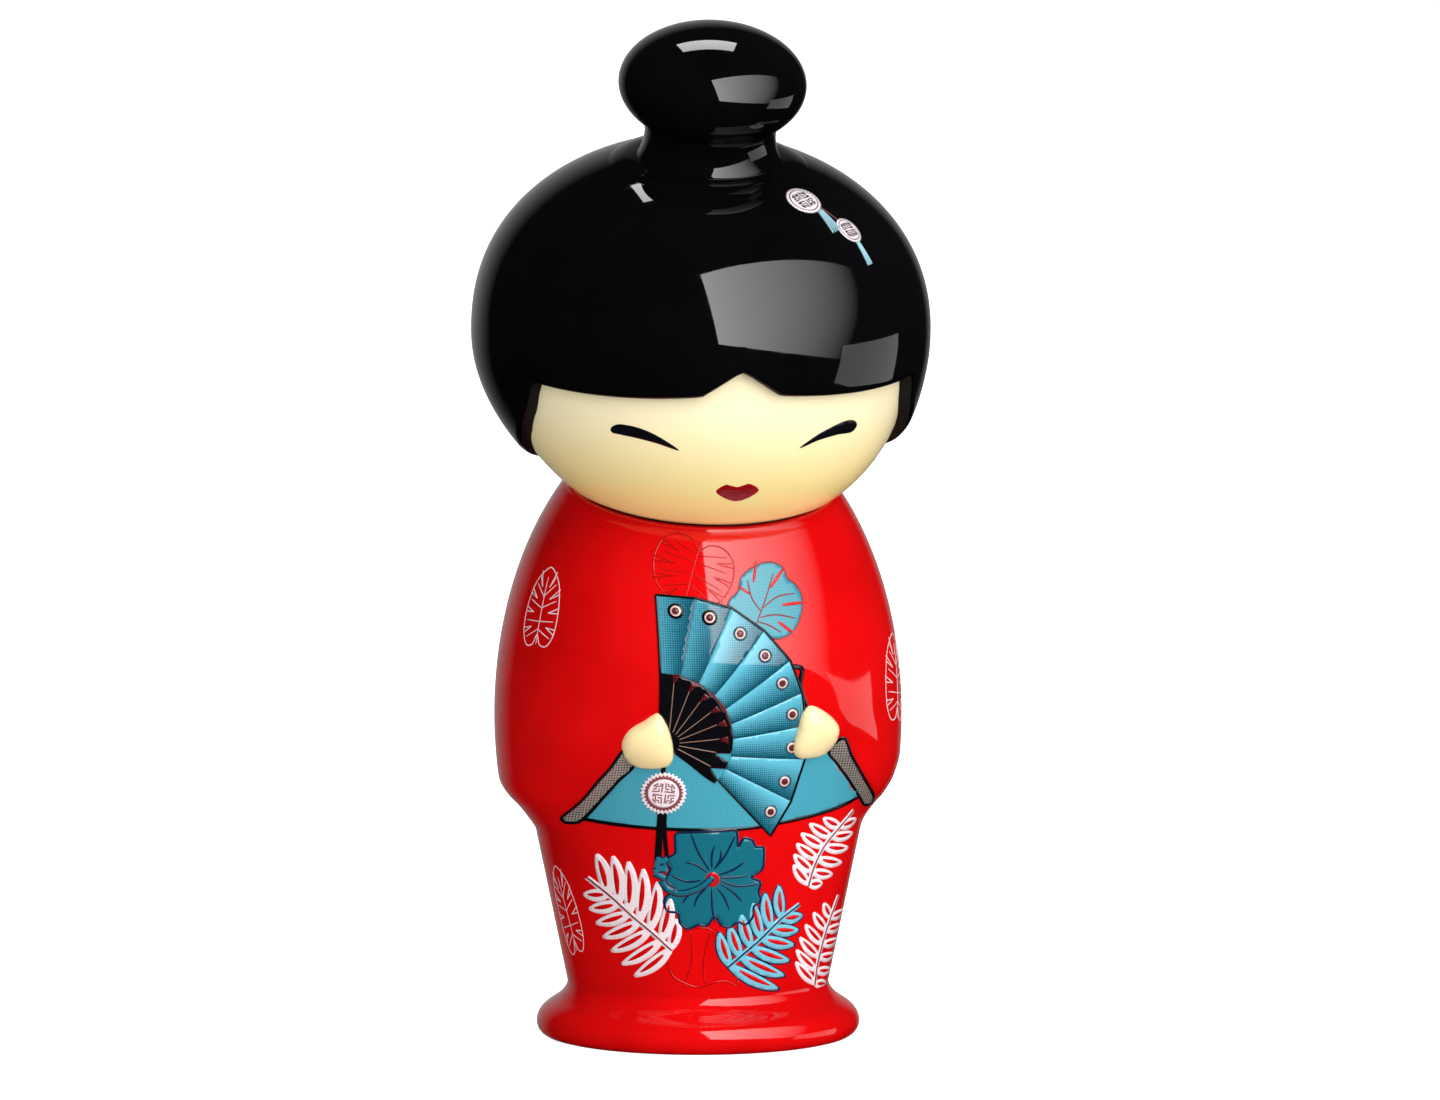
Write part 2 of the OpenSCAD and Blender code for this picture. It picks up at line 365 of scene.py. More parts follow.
skin_glaze = glazed("cream skin glaze", "FFEBB8", "FBE0A4", ripple=0.15, gloss=0.12)
right_hand = [(-13.0, 60.9), (-15.3, 59.5), (-17.6, 58.0), (-18.8, 56.0), (-18.6, 53.8), (-17.2, 51.7),
              (-15.2, 50.9), (-12.6, 50.9), (-10.7, 51.6), (-10.1, 53.4), (-10.5, 56.4), (-11.6, 59.2)]
left_hand = [(14.2, 61.6), (12.6, 60.4), (11.7, 57.2), (11.1, 54.0), (12.0, 52.4), (14.0, 52.0), (17.0, 52.3),
             (18.8, 53.6), (19.6, 55.7), (19.4, 57.8), (17.2, 60.1)]
for stands_for, outline in (("right_hand", right_hand), ("left_hand", left_hand)):
    hand = laid(stands_for + "_pad", [curve(outline, True, 0.2)], on_kimono, 0.02, skin_glaze,
                grid=0.35, dome=2.7)
    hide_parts(stands_for)


# Kimono prints: screen-printed ceramic transfers, slid on wet and fired into the glaze.
# Each ink is a film of its own, a few hundredths of a millimetre over the one below it.
screen = bpy.data.node_groups.new("Screened ink", "ShaderNodeTree")
for label, kind, value in (("Ink", "Color", WHITE), ("Under ink", "Color", (0, 0, 0, 1)),
                           ("Cover", "Float", 0.9), ("Dots per metre", "Float", 2600.0)):
    socket = screen.interface.new_socket(label, in_out="INPUT", socket_type="NodeSocket" + kind)
    socket.default_value = value
screen.interface.new_socket("Colour", in_out="OUTPUT", socket_type="NodeSocketColor")
s_in, s_out = node(screen, "NodeGroupInput"), node(screen, "NodeGroupOutput")
spot = node(screen, "ShaderNodeTexCoord").outputs["Object"]
turned = node(screen, "ShaderNodeVectorRotate", {"Vector": spot, "Axis": (0, 1, 0),
                                                 "Angle": math.radians(45)})
finer = node(screen, "ShaderNodeVectorMath", {0: turned.outputs[0], "Scale": s_in.outputs["Dots per metre"]},
             operation="SCALE")
axes = node(screen, "ShaderNodeSeparateXYZ", {0: finer.outputs[0]})
waves = []
for k in (0, 2):
    wave = node(screen, "ShaderNodeMath", {0: axes.outputs[k], 1: math.pi}, operation="MULTIPLY")
    waves.append(node(screen, "ShaderNodeMath", {0: wave.outputs[0]}, operation="SINE").outputs[0])
mesh_dots = node(screen, "ShaderNodeMath", {0: waves[0], 1: waves[1]}, operation="MULTIPLY")
level = node(screen, "ShaderNodeMapRange", {"Value": mesh_dots.outputs[0], "From Min": -1.0, "From Max": 1.0})
grain = node(screen, "ShaderNodeTexNoise", {"Vector": spot, "Scale": 1400.0, "Detail": 2.0})
mixed = node(screen, "ShaderNodeMath", {0: grain.outputs["Fac"], 1: -0.5}, operation="ADD")
mixed = node(screen, "ShaderNodeMath", {0: mixed.outputs[0], 1: 0.35, 2: level.outputs[0]},
             operation="MULTIPLY_ADD")
short = node(screen, "ShaderNodeMath", {0: mixed.outputs[0], 1: s_in.outputs["Cover"]}, operation="SUBTRACT")
edge = node(screen, "ShaderNodeMapRange", {"Value": short.outputs[0], "From Min": -0.08, "From Max": 0.08})
inked = node(screen, "ShaderNodeMix", {0: edge.outputs[0], 6: s_in.outputs["Ink"],
                                       7: s_in.outputs["Under ink"]}, data_type="RGBA")
screen.links.new(inked.outputs[2], s_out.inputs["Colour"])


def surface_in(material, group):
    """The node that puts a shared surface into a material."""
    return [n for n in material.node_tree.nodes if n.type == "GROUP" and n.node_tree == group][0]


def ink(name, code, under, cover=0.93, pitch=2600.0):
    """A printed ink with its screen's dots, under the same fired surface as the glaze."""
    made = glazed(name, code, under, ripple=0.2, gloss=0.09)
    tree = made.node_tree
    dots = node(tree, "ShaderNodeGroup", node_tree=screen)
    dots.inputs["Ink"].default_value = colour(code)
    dots.inputs["Under ink"].default_value = colour(under)
    dots.inputs["Cover"].default_value = cover
    dots.inputs["Dots per metre"].default_value = pitch
    fired = surface_in(made, glaze)
    tree.links.new(dots.outputs["Colour"], fired.inputs["Colour"])
    tree.links.new(dots.outputs["Colour"], fired.inputs["Pooled colour"])
    return made


def thickened(line, half):
    """The outline round a line that has its own half width at each point."""
    along = np.gradient(line, axis=0)
    along /= np.linalg.norm(along, axis=1)[:, None]
    side = np.stack([-along[:, 1], along[:, 0]], 1) * half
    return np.vstack([line + side, (line - side)[::-1]])


def stroke(points, width, taper=1.0, soft=True, step=0.35):
    """The outline of a drawn line that narrows towards its ends."""
    line = curve(points, False, step, soft)
    t = np.linspace(-1, 1, len(line))[:, None]
    return thickened(line, width / 2 * (1 - (1 - taper) * np.abs(t) ** 3))


def outlined(points, width, soft=True, parts=3):
    """The line round a closed drawing, in a few overlapping lengths."""
    c = curve(points, True, soft=soft)
    ends = [round(k * len(c) / parts) for k in range(parts + 1)]
    return [stroke(np.vstack([c, c])[a:b + 2], width, soft=False, step=5) for a, b in zip(ends, ends[1:])]


black_ink = ink("black ink", "0B0B10", "1C1418", 0.96)
teal_ink = ink("hem teal ink", "489EB2", "3D8EA4", 0.85)

# Hem panel between the cuffs: flat teal with a heavy black lower edge, printed straight
# onto the body's front, behind the fan and the hands.
hem_bottom = [(-23.6, 41.0), (-19.4, 40.6), (-12.5, 40.2), (-5.1, 40.0), (2.6, 40.1), (10.8, 41.0),
              (19.6, 42.2), (26.2, 43.6)]
hem_left = [(22.8, 47.2), (20.0, 50.6), (17.0, 55.0)]
hem_right = [(-15.0, 54.0), (-18.8, 48.4), (-21.0, 45.1)]
laid("hem_panel", [curve(hem_bottom + hem_left + [(8, 57), (-8, 56)] + hem_right, True, soft=False)],
     on_kimono, 0.03, teal_ink)
laid("hem_edge", [stroke(hem_bottom, 0.62)], on_kimono, 0.06, black_ink)

# Cuffs: grey stippled bands along the sleeves' opening edges, outlined in black, each
# printed down the slope between the raised sleeve and the panel behind it.
cuff_ink = ink("stippled cuff ink", "9C948C", "4E4844", 0.56, 2900.0)
cuff_right = [(-18.4, 54.2), (-20.6, 50.9), (-22.3, 48.4), (-24.3, 44.9), (-26.3, 42.0), (-26.9, 40.9),
              (-26.3, 40.1), (-25.0, 40.1), (-23.7, 40.9), (-20.9, 45.3), (-18.8, 48.4), (-16.4, 51.6)]
cuff_left = [(20.6, 55.4), (22.6, 51.7), (25.8, 47.2), (28.6, 43.6), (29.3, 42.3), (29.0, 41.4), (27.6, 41.5),
             (25.9, 43.3), (22.8, 47.2), (20.0, 50.6), (18.2, 53.0)]
for name, cuff in (("cuff_right", cuff_right), ("cuff_left", cuff_left)):
    laid(name + "_band", [curve(cuff, True)], on_kimono, 0.07, cuff_ink, grid=0.6)
    laid(name + "_line", outlined(cuff, 0.55), on_kimono, 0.10, black_ink, grid=0.6)


# Leaves behind the fan and round the kimono: split monstera leaves, screen-printed. Most are
# only a fine outline, in white or in a red darker than the glaze, and one is solid teal.
unrolled_radius = 34
half_heart = [(0.22, -0.95), (0.6, -0.98), (0.9, -0.7), (1.0, -0.25), (0.95, 0.2), (0.78, 0.6), (0.45, 0.88)]
HEART = [(0, -0.7)] + half_heart + [(0, 1.05)] + [(-x, y) for x, y in reversed(half_heart)]
SLITS, VEINS = [], [[(0, -0.95), (0.03, -0.2), (0, 0.8)]]
for side in (1, -1):
    for x0, y0, x1, y1 in ((0.93, -0.62, 0.45, -0.5), (1.02, -0.05, 0.46, -0.12),
                           (0.9, 0.44, 0.4, 0.24), (0.5, 0.88, 0.24, 0.54)):
        SLITS.append([(side * x0, y0), (side * x1, y1)])
    for y0, x1, y1 in ((-0.55, 0.7, -0.78), (-0.35, 0.82, -0.34), (0.0, 0.8, 0.2), (0.3, 0.6, 0.62)):
        VEINS.append([(0, y0), (side * x1, y1)])


def placed(points, middle, wide, tall, turn=0):
    """A drawing moved to its place, sized and turned."""
    p = np.array(points) * (wide, tall)
    c, s = math.cos(math.radians(turn)), math.sin(math.radians(turn))
    return p @ np.array([[c, s], [-s, c]]) + middle


def around(middle):
    """The kimono's surface unrolled about an upright line at an angle from the front."""
    def surface(u, z):
        turn = middle + u / unrolled_radius
        radius = kimono(turn, z)
        return np.stack([radius * np.sin(turn), -radius * np.cos(turn), z], -1)
    return surface


def monstera_lines(middle, wide, tall, turn, width):
    """Rim, slits and veins of one leaf; each slit is a pair of lines that meet inside."""
    lines = outlined(placed(HEART, middle, wide, tall, turn), width, parts=6)
    for (x0, y0), (x1, y1) in SLITS:
        for spread in (-0.07, 0.07):
            slit = placed([(x0, y0 + spread), (x1, y1)], middle, wide, tall, turn)
            lines.append(stroke(slit, width * 0.9, soft=False))
    return lines + [stroke(placed(v, middle, wide, tall, turn), width * 0.8, 0.5) for v in VEINS]


deep_red = ink("deep red ink", "B00508", "C9060A", 0.8)
line_white = ink("white line ink", "F3E6EA", "E8C9CE", 0.9)
leaf_teal = ink("leaf teal ink", "3F93A4", "2F8496", 0.8)
leaf_red = ink("leaf outline ink", "8C2A34", "6E2830", 0.85)
laid("leaf_shadow", monstera_lines((-6.6, 85.0), 6.8, 5.8, 160, 0.24), on_kimono, 0.02, deep_red)
red_print = ink("red print", "D2080B", "BE0609", 0.85)
teal_leaf = [(-0.9, 79.7), (1.0, 82.1), (1.7, 84.3), (4.0, 86.0), (7.0, 86.7), (9.4, 85.7), (10.2, 83.8),
             (11.6, 82.7), (12.7, 80.6), (12.4, 77.7), (10.9, 75.0), (8.6, 73.8), (6.6, 73.9), (2.0, 76.0)]
laid("leaf_teal", [curve(teal_leaf, True)], on_kimono, 0.03, leaf_teal)
teal_slits = [([(4.6, 86.9), (3.9, 83.4)], 0.5), ([(9.6, 85.6), (6.9, 82.4)], 0.6),
              ([(12.8, 79.6), (8.8, 79.4)], 0.55), ([(10.6, 74.6), (8.0, 76.6)], 0.55),
              ([(1.2, 82.8), (3.2, 81.4)], 0.45)]
laid("leaf_teal_slits", [stroke(slit, width, 0.3) for slit, width in teal_slits], on_kimono, 0.05,
     red_print, grid=0.6)
teal_veins = [[(4.0, 76.5), (5.8, 80.4), (7.6, 84.8)], [(5.0, 78.8), (8.0, 80.8), (11.4, 81.2)],
              [(4.4, 77.4), (7.6, 77.8), (11.4, 77.0)], [(4.8, 78.6), (3.4, 80.8), (2.8, 83.8)],
              [(4.2, 76.8), (6.4, 76.0), (8.4, 74.8)]]
laid("leaf_teal_line", outlined(teal_leaf, 0.24, parts=4) + [stroke(vein, 0.24, 0.5) for vein in teal_veins],
     on_kimono, 0.07, leaf_red, grid=0.6)
for name, angle, z, wide, tall, turn, line_ink in (
        ("sleeve_leaf_right", -66, 77.7, 4.9, 6.6, 2, line_white),
        ("sleeve_leaf_left", 68, 64.0, 6.6, 7.4, -8, line_white),
        ("skirt_leaf_right", -74, 23.5, 5.2, 7.6, 12, line_white),
        ("sleeve_leaf_back", 150, 80, 6.2, 7.0, 20, line_white),
        ("chest_leaf_back", 205, 66, 6.6, 7.4, -25, deep_red),
        ("skirt_leaf_back", 178, 26, 6.6, 7.6, 10, line_white),
        ("skirt_leaf_left", 112, 22, 5.6, 7.4, -15, deep_red)):
    laid(name, monstera_lines((0, z), wide, tall, turn, 0.2), around(math.radians(angle)), 0.03, line_ink)
flower_shadow = [(-9.8, 17.5), (-8.4, 20.6), (-5.8, 22.2), (-2.6, 22.0), (-0.9, 19.2), (1.6, 15.4),
                 (2.6, 11.8), (0.6, 12.6), (-1.6, 12.4), (-4.2, 11.6), (-6.8, 12.4), (-9.0, 14.0)]
shadow_folds = [[(-6.6, 12.6), (-5.6, 16.5), (-6.0, 21.6)], [(-3.2, 12.2), (-3.6, 16.6), (-2.6, 21.6)]]
laid("flower_shadow", outlined(flower_shadow, 0.26) + [stroke(fold, 0.24) for fold in shadow_folds],
     on_kimono, 0.02, deep_red)

# Flower: a dark teal hibiscus with navy drawing, its stamen curling to the teal knot that
# ends the medallion's cord.
flower_ink = ink("hibiscus ink", "176B7C", "125E70", 0.8)
navy_ink = ink("navy ink", "0A2648", "082040", 0.95)
heart_red = ink("flower heart ink", "C3161C", "A31218", 0.85)
petals = [(-9.2, 37.4), (-9.1, 39.3), (-6.8, 39.6), (-4.9, 39.7), (-1.6, 39.8), (1.2, 39.8), (1.7, 37.0),
          (2.6, 38.4), (4.2, 38.0), (4.9, 36.8), (6.3, 36.6), (6.5, 34.6), (6.2, 32.6), (4.4, 31.3),
          (6.0, 30.4), (5.8, 28.6), (6.2, 27.0), (5.0, 26.0), (4.9, 24.2), (3.6, 22.8), (2.2, 23.3),
          (0.8, 22.4), (-0.8, 22.9), (-1.9, 24.4), (-3.2, 22.8), (-4.8, 22.9), (-6.4, 22.2), (-7.8, 23.2),
          (-8.3, 25.0), (-10.0, 25.4), (-10.6, 27.4), (-9.2, 29.4), (-10.5, 31.0), (-9.8, 32.9),
          (-10.6, 34.6), (-9.2, 35.8)]
laid("hibiscus", [curve(petals, True)], on_kimono, 0.04, flower_ink)
drawing = [[(-3.2, 32.7), (-5.3, 36.2), (-6.6, 39.4)], [(-2.4, 32.9), (-0.6, 35.3), (1.1, 38.9)],
           [(-1.4, 31.0), (1.8, 29.8), (5.6, 30.0)], [(-2.7, 29.4), (-2.4, 25.8), (-1.8, 23.2)],
           [(-4.5, 31.0), (-6.9, 30.7), (-9.6, 31.8)], [(-2.8, 33.2), (-2.9, 35.4), (-2.5, 37.2)],
           [(-3.6, 32.4), (-5.6, 33.8), (-7.4, 34.2)], [(-1.5, 31.9), (1.0, 32.8), (3.0, 34.2)],
           [(-1.3, 31.4), (1.2, 31.4), (3.6, 31.6)], [(-1.8, 29.6), (-0.4, 27.8), (0.6, 25.6)],
           [(-3.6, 29.6), (-5.0, 28.0), (-5.6, 26.2)], [(-2.2, 33.2), (-1.4, 34.8), (-1.3, 36.4)],
           [(-1.2, 30.4), (1.0, 28.8), (2.8, 27.0)], [(-4.0, 30.0), (-5.9, 29.2), (-7.6, 26.8)]]
laid("hibiscus_lines", outlined(petals, 0.42, parts=8) + [stroke(line, 0.36, 0.4) for line in drawing],
     on_kimono, 0.07, navy_ink, grid=0.6)
disc = [(math.cos(a), math.sin(a)) for a in np.radians(np.arange(0, 360, 15))]
laid("hibiscus_heart", [placed(disc, (-2.6, 31.1), 1.25, 1.35)], on_kimono, 0.09, heart_red, grid=0.5)
stamen = [(-2.6, 31.6), (-3.4, 30.7), (-4.6, 29.7), (-6.4, 28.9), (-8.3, 28.6), (-10.2, 29.4), (-11.2, 30.9)]
laid("stamen_line", [stroke(stamen, 1.25)], on_kimono, 0.11, navy_ink, grid=0.5)
laid("stamen", [stroke(stamen, 0.8)], on_kimono, 0.14, flower_ink, grid=0.5)


# Ferns: printed sprays of pointed fingers on both sides of a stem, white or pale blue. A red
# slit runs down the middle of each finger.
def blade(root, tip, width, bend):
    """One finger, broadest near its middle and bowed a little to one side."""
    run = tip - root
    over = np.array([-run[1], run[0]]) * bend
    t = np.linspace(0, 1, 15)[:, None]
    line = root + run * t + over * 4 * t * (1 - t)
    return thickened(line, width / 2 * (0.12 + 0.88 * np.sin(math.pi * (t * 0.92 + 0.07)) ** 0.7))


def fern(name, stem, left_tips, right_tips, width, leaf_ink, line_ink=None):
    """One spray: its fingers run from the stem to their tips, base first."""
    stem_line = curve(stem, False, 0.2)
    fingers, slits, grown = [], [], []
    for tips, bend in ((left_tips, 0.04), (right_tips, -0.04)):
        for k, tip in enumerate(tips):
            root = stem_line[int((0.04 + 0.86 * k / len(tips)) * (len(stem_line) - 1))]
            run = np.array(tip, float) - root
            fingers.append(blade(root, root + run, width, bend))
            slits.append(blade(root + run * 0.2, root + run * 0.84, width * 0.34, bend * 0.6))
            grown.append(blade(root - run * 0.03, root + run * 1.05, width * 1.22, bend))
    fingers.append(stroke(stem, width * 0.45, 0.8))
    if line_ink:
        laid(name + "_line", grown, on_kimono, 0.02, line_ink, grid=0.6)
    laid(name, fingers, on_kimono, 0.05, leaf_ink, grid=0.6)
    laid(name + "_slits", slits, on_kimono, 0.07, red_print, grid=0.6)
    laid(name + "_stem", [stroke(stem, 0.3)], on_kimono, 0.09, line_ink or plum_ink, grid=0.6)


plum_ink = ink("plum line ink", "8A3A48", "7A2E3C", 0.9)
fern_blue = ink("fern blue ink", "74C0D6", "63B2CA", 0.85)
fern("fern_white_right", [(-9.0, 18.2), (-12.2, 21.2), (-15.8, 24.3), (-18.8, 27.2), (-22.6, 30.4)],
     [(-14.8, 13.2), (-16.8, 15.2), (-18.5, 17.4), (-19.8, 19.8), (-20.9, 22.2), (-22.0, 24.7),
      (-22.9, 27.2)],
     [(-8.4, 24.0), (-9.6, 27.6), (-11.8, 30.6), (-14.2, 32.8), (-16.6, 34.0), (-19.0, 34.8),
      (-21.4, 34.9)],
     2.3, line_white)
fern("fern_blue", [(0.8, 15.2), (3.4, 17.4), (6.4, 19.9), (10.0, 23.2), (13.8, 25.7)],
     [(-1.0, 21.4), (0.8, 22.6), (2.8, 24.6), (4.9, 26.6), (7.0, 28.2), (9.6, 29.4)],
     [(10.2, 10.7), (11.3, 13.0), (12.2, 15.6), (13.0, 18.4), (13.8, 21.0), (14.5, 23.6)],
     2.2, fern_blue, navy_ink)
fern("fern_white_top", [(15.4, 28.8), (16.4, 32.2), (18.4, 35.8), (21.6, 38.8), (24.6, 41.2)],
     [(12.2, 33.0), (12.2, 34.9), (12.6, 36.8), (13.4, 38.6), (15.0, 40.2), (17.8, 40.9)],
     [(18.4, 29.0), (20.6, 30.2), (22.6, 32.0), (24.0, 34.4), (25.0, 36.9), (25.6, 39.4)], 2.0, line_white)
fern("fern_white_low", [(18.1, 10.2), (18.4, 14.0), (19.4, 18.2), (20.8, 22.2), (22.4, 26.0)],
     [(13.6, 15.2), (13.6, 17.4), (14.2, 19.6), (15.2, 21.8), (16.8, 23.8), (19.0, 25.2)],
     [(21.2, 9.8), (22.4, 12.0), (23.2, 14.6), (23.9, 17.2), (24.4, 19.8), (24.8, 22.4)], 1.85, line_white)


# Fan: nine pleats, screen-printed in a teal halftone that darkens across each pleat to a pale
# hairline at its fold. Each pleat has a button, and the black sticks have tan edges and maroon
# tips.
outer = [(-13.0, 81.4), (-6.5, 80.9), (-0.3, 79.2), (5.3, 75.2), (9.9, 69.9), (12.3, 64.0), (13.4, 58.1),
         (13.4, 52.0), (11.1, 44.6), (7.5, 38.6)]
inner = [(-12.8, 67.9), (-9.4, 67.6), (-6.3, 66.4), (-3.5, 64.2), (-1.5, 61.7), (-0.4, 59.0), (0.0, 56.3),
         (-0.3, 53.2), (-1.0, 50.9), (-2.4, 49.0)]
pleat = ink("pleat halftone", "8FDCEA", "0C5A6C", 0.7, 3600.0)
halftone = surface_in(pleat, screen)
across = node(pleat.node_tree, "ShaderNodeAttribute", attribute_name="shade")
lit = node(pleat.node_tree, "ShaderNodeValToRGB", {"Fac": across.outputs["Fac"]})
stops = lit.color_ramp.elements
stops[0].color = colour("66BFD6")
stops.new(0.999).color = colour("0E5C72")
stops[2].color = WHITE
pleat.node_tree.links.new(lit.outputs["Color"], halftone.inputs["Ink"])
fill = node(pleat.node_tree, "ShaderNodeMapRange", {"Value": across.outputs["Fac"], "From Min": 0.1,
                                                    "From Max": 0.95, "To Min": 1.0, "To Max": 0.46})
pleat.node_tree.links.new(fill.outputs["Result"], halftone.inputs["Cover"])
halftone.inputs["Under ink"].default_value = colour("0A4658")


def from_fold(k, x, z):
    """How far points lie from the fold where pleat k starts."""
    (x0, z0), (x1, z1) = inner[k], outer[k]
    return np.abs((x1 - x0) * (z - z0) - (z1 - z0) * (x - x0)) / math.hypot(x1 - x0, z1 - z0)


def across_pleat(k):
    """Shade across pleat k, from its light fold to its dark one; the first two are darker."""
    lightest = 0.4 if k < 2 else 0

    def shade(x, z):
        light, dark = from_fold(k, x, z), from_fold(k + 1, x, z)
        return np.clip(light / (light + dark) * (1 - lightest) + lightest, 0, 1)
    return shade


laid("fan_backing", [stroke([(9.8, 68.8), (12.1, 68.3), (11.9, 65.4), (13.4, 61.0)], 0.9)],
     on_kimono, 0.05, black_ink)
for k in range(9):
    corners = [inner[k], outer[k], outer[k + 1], inner[k + 1]]
    laid("fan_pleat_%d" % (k + 1), [curve(corners, True, 0.5, False)], on_kimono, 0.12, pleat, grid=0.6,
         paint=across_pleat(k))
laid("fan_edge", [stroke(outer, 0.42, soft=False), stroke([outer[0], inner[0]], 0.4, soft=False),
                  stroke([outer[-1], inner[-1]], 0.3, soft=False)], on_kimono, 0.15, black_ink, grid=0.6)
sticks = [(-13.0, 68.2), (-10.3, 67.8), (-7.9, 67.0), (-5.3, 65.6), (-3.1, 63.5), (-1.4, 61.1),
          (-0.4, 58.7), (0.0, 56.6), (-0.1, 54.6), (-0.4, 53.7), (-1.7, 53.8), (-3.0, 53.8), (-0.7, 52.2),
          (-1.1, 51.0), (-3.7, 51.2), (-2.4, 49.2), (-2.9, 48.4), (-4.6, 49.5), (-7.0, 51.5),
          (-10.0, 53.8), (-11.2, 55.6), (-12.8, 60.9)]
laid("fan_sticks", [curve(sticks, True, soft=False)], on_kimono, 0.16, black_ink, grid=0.6)
pivot = np.array((-11.0, 55.5))
stick_ends = np.array([(-10.5, 66.4), (-7.9, 64.9), (-5.9, 63.2), (-4.1, 61.2), (-2.9, 59.0), (-2.4, 56.4),
                       (-2.9, 54.0), (-3.7, 51.5)])
tan_ink = ink("stick edge ink", "8C7060", "6C5648", 0.9)
laid("fan_stick_edges", [stroke([pivot + (end - pivot) * 0.22, end], 0.16, soft=False) for end in stick_ends],
     on_kimono, 0.19, tan_ink, grid=0.6)
maroon_ink = ink("maroon tip ink", "6A1D26", "2A0B10", 0.62)
tips = []
for end in stick_ends[:6]:
    out = (end - pivot) / np.linalg.norm(end - pivot)
    over = np.array([out[1], -out[0]])
    corners = [end - out * 0.3, end + out * 1.5 - over * 0.3, end + out * 1.5 + over * 1.1]
    tips.append(curve(corners, True, 0.3, False))
laid("fan_stick_tips", tips, on_kimono, 0.19, maroon_ink, grid=0.5)
buttons = [(-9.9, 78.7), (-4.2, 77.6), (1.0, 74.8), (5.3, 70.9), (8.5, 66.0), (10.6, 60.3), (10.8, 54.3),
           (9.7, 48.3), (7.3, 43.0)]
button_ring = ink("button ring ink", "F2CDC8", "E6B4B0", 0.9)
button_heart = ink("button heart ink", "6A2C2E", "4A1C20", 0.6)
button_back = ink("button surround ink", "2E5A6C", "24485A", 0.8)
for name, middles, size, lift, button_ink, grid in (
        ("button_surrounds_dark", buttons[:2], 1.35, 0.15, black_ink, 0.6),
        ("button_surrounds", buttons[2:], 1.25, 0.15, button_back, 0.6),
        ("button_rings", buttons, 0.9, 0.18, button_ring, 0.5),
        ("button_hearts", buttons, 0.62, 0.21, button_heart, 0.5)):
    discs = [placed(disc, middle, size, size) for middle in middles]
    laid(name, discs, on_kimono, lift, button_ink, grid=grid)


# Medallion: a white disc with a saw-tooth edge, a mauve ring and a key pattern, hung on a
# black cord that ends in a teal knot over the flower.
def medallion(name, middle, size, surface, dark_ink, body, lift, key_width=0.055, face=0.66):
    """A printed disc in four films: saw-tooth edge, dark ring, white face and its key pattern."""
    teeth = []
    for k, a in enumerate(np.radians(np.arange(0, 360, 360 / 64))):
        reach = (1.0, 0.89)[k % 2]
        teeth.append((math.cos(a) * reach, math.sin(a) * reach))
    keys = [[(0.58 * math.cos(a), 0.58 * math.sin(a)) for a in np.radians(np.arange(0, 361, 12))]]
    for turn in (0, 90, 180, 270):
        for line in ([(0.09, 0.5), (0.09, 0.2), (0.24, 0.2)],
                     [(0.2, 0.46), (0.2, 0.33), (0.34, 0.33), (0.34, 0.12), (0.48, 0.12)],
                     [(0.04, 0.09), (0.46, 0.04)], [(0.32, 0.44), (0.44, 0.3), (0.44, 0.22)]):
            keys.append(placed(line, (0, 0), 1, 1, turn))
    key_size = size * face / 0.66
    key_lines = [stroke(placed(k, middle, key_size, key_size), size * key_width, soft=False) for k in keys]
    films = (("", [placed(teeth, middle, size, size)], line_white),
             ("_ring", [placed(np.array(teeth) * 0.86, middle, size, size, 3)], dark_ink),
             ("_face", [placed(disc, middle, size * face, size * face)], line_white),
             ("_key", key_lines, dark_ink))
    for layer, (part, shapes, film_ink) in enumerate(films):
        laid(name + part, shapes, surface, lift + 0.03 * layer, film_ink, body, grid=0.5)


mauve_ink = ink("mauve ink", "8B4A50", "7A3C44", 0.85)
knot_ink = ink("knot teal ink", "1E7488", "16607A", 0.8)
laid("cord", [stroke([(-11.6, 52.0), (-11.7, 49.0)], 0.75, soft=False),
              stroke([(-11.9, 43.4), (-12.0, 39.6), (-12.1, 34.6)], 0.75),
              stroke([(-11.1, 43.4), (-11.0, 39.6), (-10.4, 34.8)], 0.7),
              stroke([(-11.5, 43.4), (-11.5, 34.6)], 0.4, soft=False)],
     on_kimono, 0.16, black_ink, grid=0.5)
medallion("medallion", (-11.4, 46.6), 3.85, on_kimono, mauve_ink, "jar", 0.2)
knot = [[(-12.2, 34.8), (-10.4, 34.2)], [(-10.3, 34.8), (-12.3, 33.8)], [(-12.4, 33.6), (-10.3, 32.6)],
        [(-10.4, 33.6), (-12.4, 32.4)], [(-12.4, 32.2), (-10.6, 31.2)]]
laid("knot_line", [stroke(turn, 1.15) for turn in knot], on_kimono, 0.17, navy_ink, grid=0.5)
laid("knot", [stroke(turn, 0.75) for turn in knot], on_kimono, 0.2, knot_ink, grid=0.5)


# Seal: a black silicone ring stretched onto the lid's plug. Its thin flange keeps the two
# glazed rims apart and shows as the dark line at the neck.
seal_profile = [(17.05, -6.6), (17.95, -6.6), (18.3, -6.2), (18.42, -5.8), (18.42, -4.7), (18.0, -4.5),
                (17.92, -3.9), (18.0, -3.5), (18.42, -3.3), (18.42, -2.3), (18.0, -2.1), (17.92, -1.2),
                (17.92, -0.1), (18.05, 0.05), (22.8, 0.05), (22.9, 0.12), (22.9, 0.38), (22.8, 0.45),
                (17.2, 0.45), (17.05, 0.3)]
rubber = glazed("black silicone", "141416", "0E0E10", ripple=0.8, gloss=0.55)
seal = skin("seal", [ring(r, s) for r, s in seal_profile], [rubber], closed=True)
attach(seal, "seal")
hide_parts("seal_ring")


# Head: a hollow cream-glazed lid. The cheeks run down to a rim as wide as the jar's, and the
# plug below it carries the seal. Eyes and mouth are printed like the kimono's transfers.
broadest = 28.4
face_wide, face_below, face_above = 37.4, 36.3, 30.7
chin, chin_inside = 1.3, 3.8


